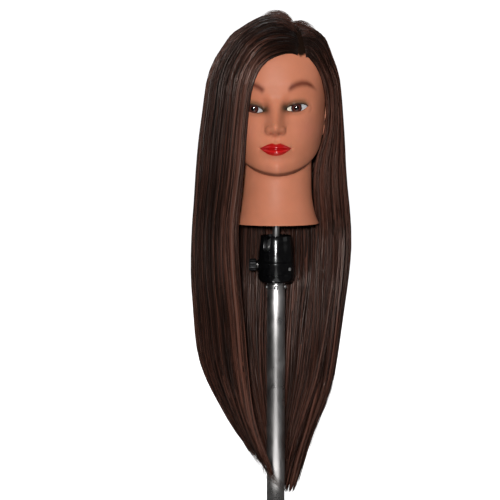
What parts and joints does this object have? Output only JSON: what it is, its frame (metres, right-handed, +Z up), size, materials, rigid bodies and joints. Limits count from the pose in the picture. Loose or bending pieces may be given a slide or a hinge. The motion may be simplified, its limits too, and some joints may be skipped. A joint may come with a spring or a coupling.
{
  "type": "mannequin training head on a ball clamp",
  "caption": "Hairdressing training head: soft vinyl face over a foam core, waist-long straight brown hair, held on a lockable ball clamp on a steel column.",
  "frame": {"origin": "centre of the column's foot, on the column's axis", "axes": "+Z up along the column, -Y the way the face looks at rest, +X to the head's own left"},
  "size_m": [0.223, 0.2117, 0.7128],
  "materials": {
    "skin_vinyl": "waxy, painted features",
    "eye_acrylic": "polished",
    "core_foam": "rigid foam",
    "hair": "smooth straight strands",
    "black_plastic": "glossy",
    "grey_plastic": "moulded",
    "nylon": "moulded",
    "rubber": "matte",
    "brushed_tube": "drawn along its length",
    "bright_steel": "bright",
    "brass": "machined"
  },
  "bodies": {
    "column": {"column_tube": "brushed_tube", "column_end_plug": "black_plastic", "column_spigot": "bright_steel", "collar_ring": "bright_steel", "thrust_washer": "nylon", "column_screw_left": "bright_steel", "column_screw_back": "bright_steel", "column_screw_right": "bright_steel", "column_screw_front": "bright_steel"},
    "housing": {"housing_shell": "black_plastic", "housing_base": "black_plastic", "base_screw_1": "bright_steel", "base_screw_2": "bright_steel", "base_screw_3": "bright_steel", "lock_bush": "bright_steel"},
    "pan_screw": {"pan_screw": "bright_steel"},
    "seat_cup": {"seat_cup": "nylon"},
    "clamp_shoe": {"clamp_shoe": "brass"},
    "lock_knob": {"lock_knob": "black_plastic", "lock_stud": "bright_steel"},
    "head": {"head_shell": "skin_vinyl", "left_eye": "eye_acrylic", "right_eye": "eye_acrylic", "foam_core": "core_foam", "neck_base_plate": "grey_plastic", "neck_socket": "grey_plastic", "hair_crown": "hair", "hair_left_side": "hair", "hair_right_side": "hair", "hair_back_side": "hair", "ball": "bright_steel", "stem": "bright_steel", "jam_nut": "bright_steel", "mounting_plug": "black_plastic", "plug_ring_lower": "rubber", "plug_ring_upper": "rubber"},
    "hair_fall": {"hair_left_fall": "hair", "hair_right_fall": "hair", "hair_back_fall": "hair"}
  },
  "joints": [
    {"name": "pan", "type": "hinge", "parent": "column", "child": "housing", "pos_m": [0, 0, 0.3315], "axis": [0, 0, 1], "continuous": true},
    {"name": "tilt", "type": "hinge", "parent": "housing", "child": "head", "pos_m": [0, 0, 0.381], "axis": [1, 0, 0], "range_deg": [-25, 25], "deforming": ["hair_left_fall", "hair_right_fall", "hair_back_fall"]},
    {"name": "hair_hang", "type": "hinge", "parent": "head", "child": "hair_fall", "pos_m": [0, 0, 0.381], "axis": [1, 0, 0], "range_deg": [-25, 25]},
    {"name": "lock_draw", "type": "slide", "parent": "housing", "child": "clamp_shoe", "axis": [-1, 0, 0], "range_m": [0, 0.00187]},
    {"name": "lock_turn", "type": "hinge", "parent": "clamp_shoe", "child": "lock_knob", "pos_m": [-0.0284, 0, 0.3564], "axis": [-1, 0, 0], "range_deg": [0, 540]},
    {"name": "cup_drop", "type": "slide", "parent": "housing", "child": "seat_cup", "axis": [0, 0, -1], "range_m": [0, 0.0005]},
    {"name": "pan_screw_turn", "type": "hinge", "parent": "housing", "child": "pan_screw", "pos_m": [0.0196, -0.01828, 0.3518], "axis": [0.7314, -0.682, 0], "range_deg": [0, 360]}
  ],
  "couplings": [
    {"joint": "hair_hang", "follows": "tilt", "ratio": -1},
    {"joint": "lock_turn", "follows": "lock_draw", "rad_per_m": 5021.5},
    {"joint": "cup_drop", "follows": "lock_draw", "ratio": 0.2664}
  ]
}
